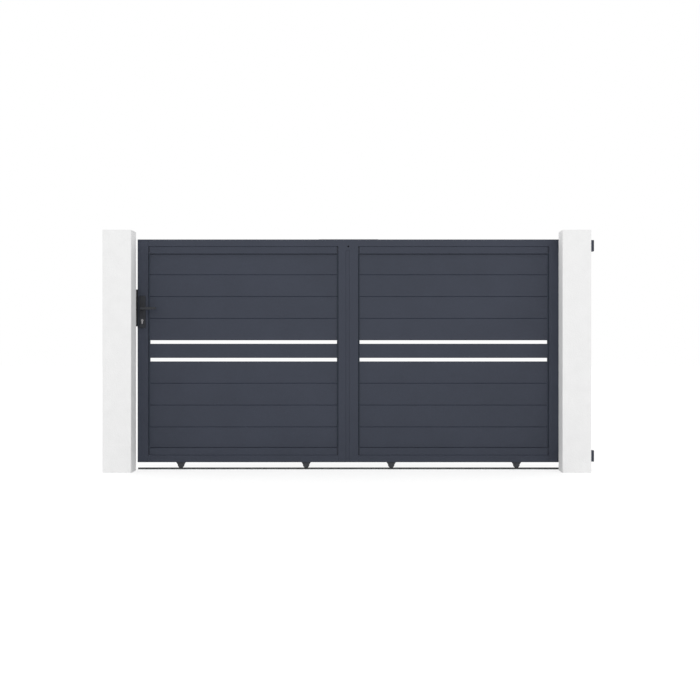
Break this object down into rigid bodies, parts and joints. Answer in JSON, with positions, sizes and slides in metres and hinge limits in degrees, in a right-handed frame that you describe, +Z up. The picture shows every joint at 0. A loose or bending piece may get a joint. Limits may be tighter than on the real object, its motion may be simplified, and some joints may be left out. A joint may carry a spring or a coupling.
{
  "type": "sliding driveway gate",
  "caption": "Boarded two-bay aluminium sliding gate on a floor rail between white rendered pillars, with lever lock, rollers and guide tail.",
  "frame": {"origin": "middle of the left pillar's base, on the ground", "axes": "+X along the gate towards the side it opens to, -Y towards the street, +Z up"},
  "size_m": [3.46, 0.36, 1.6925],
  "materials": {
    "powder_coat": "fine matt anthracite powder coat",
    "render": "white fine-grained render",
    "dark_steel": "black powder-coated steel",
    "rail_steel": "dull dark galvanised steel",
    "wheel_steel": "turned steel with a dark oxide finish",
    "roller_nylon": "white nylon",
    "galvanised": "galvanised steel",
    "cap_plastic": "moulded polyamide",
    "lock_body": "stainless faceplate",
    "cylinder_brass": "satin nickel-plated",
    "lock_trim": "dark powder coat"
  },
  "bodies": {
    "gateway": {"left_pillar": "render", "right_pillar": "render", "floor_rail": "rail_steel", "lock_keeper": "dark_steel", "guide_bracket": "galvanised", "guide_rollers": "roller_nylon", "guide_bolts": "galvanised"},
    "leaf": {"latch_stile": "powder_coat", "mullion_left": "powder_coat", "mullion_right": "powder_coat", "tail_stile": "powder_coat", "tube_plugs": "cap_plastic", "joint_strip": "powder_coat", "joint_block": "powder_coat", "top_strap": "powder_coat", "top_rail_left": "powder_coat", "bottom_rail_left": "powder_coat", "top_bead_left": "powder_coat", "bottom_bead_left": "powder_coat", "lower_boards_left": "powder_coat", "centre_board_left": "powder_coat", "upper_boards_left": "powder_coat", "top_rail_right": "powder_coat", "bottom_rail_right": "powder_coat", "top_bead_right": "powder_coat", "bottom_bead_right": "powder_coat", "lower_boards_right": "powder_coat", "centre_board_right": "powder_coat", "upper_boards_right": "powder_coat", "tail_tube_lower": "powder_coat", "tail_tube_upper": "powder_coat", "tail_caps": "cap_plastic", "lock_case": "lock_body", "lock_cylinder": "cylinder_brass", "escutcheon_front": "lock_trim", "escutcheon_back": "lock_trim", "carriage_1": "dark_steel", "carriage_2": "dark_steel", "carriage_3": "dark_steel", "carriage_4": "dark_steel"},
    "handle": {"lever_front": "lock_trim", "lever_back": "lock_trim", "lever_spindle": "galvanised"},
    "wheel_1": {"wheel_1": "wheel_steel"},
    "wheel_2": {"wheel_2": "wheel_steel"},
    "wheel_3": {"wheel_3": "wheel_steel"},
    "wheel_4": {"wheel_4": "wheel_steel"}
  },
  "joints": [
    {"name": "gate_slide", "type": "slide", "parent": "gateway", "child": "leaf", "axis": [1, 0, 0], "range_m": [0, 2.84]},
    {"name": "handle_turn", "type": "hinge", "parent": "leaf", "child": "handle", "pos_m": [0.137, 0.172, 1.1505], "axis": [0, 1, 0], "range_deg": [0, 40], "stiffness_Nm_per_rad": 1.5, "springref_deg": -20.05},
    {"name": "wheel_1_spin", "type": "hinge", "parent": "leaf", "child": "wheel_1", "pos_m": [0.4095, 0.172, 0.03478], "axis": [0, 1, 0], "continuous": true},
    {"name": "wheel_2_spin", "type": "hinge", "parent": "leaf", "child": "wheel_2", "pos_m": [1.3045, 0.172, 0.03478], "axis": [0, 1, 0], "continuous": true},
    {"name": "wheel_3_spin", "type": "hinge", "parent": "leaf", "child": "wheel_3", "pos_m": [1.9125, 0.172, 0.03478], "axis": [0, 1, 0], "continuous": true},
    {"name": "wheel_4_spin", "type": "hinge", "parent": "leaf", "child": "wheel_4", "pos_m": [2.8075, 0.172, 0.03478], "axis": [0, 1, 0], "continuous": true}
  ],
  "couplings": [
    {"joint": "wheel_1_spin", "follows": "gate_slide", "rad_per_m": 44.444},
    {"joint": "wheel_2_spin", "follows": "gate_slide", "rad_per_m": 44.444},
    {"joint": "wheel_3_spin", "follows": "gate_slide", "rad_per_m": 44.444},
    {"joint": "wheel_4_spin", "follows": "gate_slide", "rad_per_m": 44.444}
  ]
}
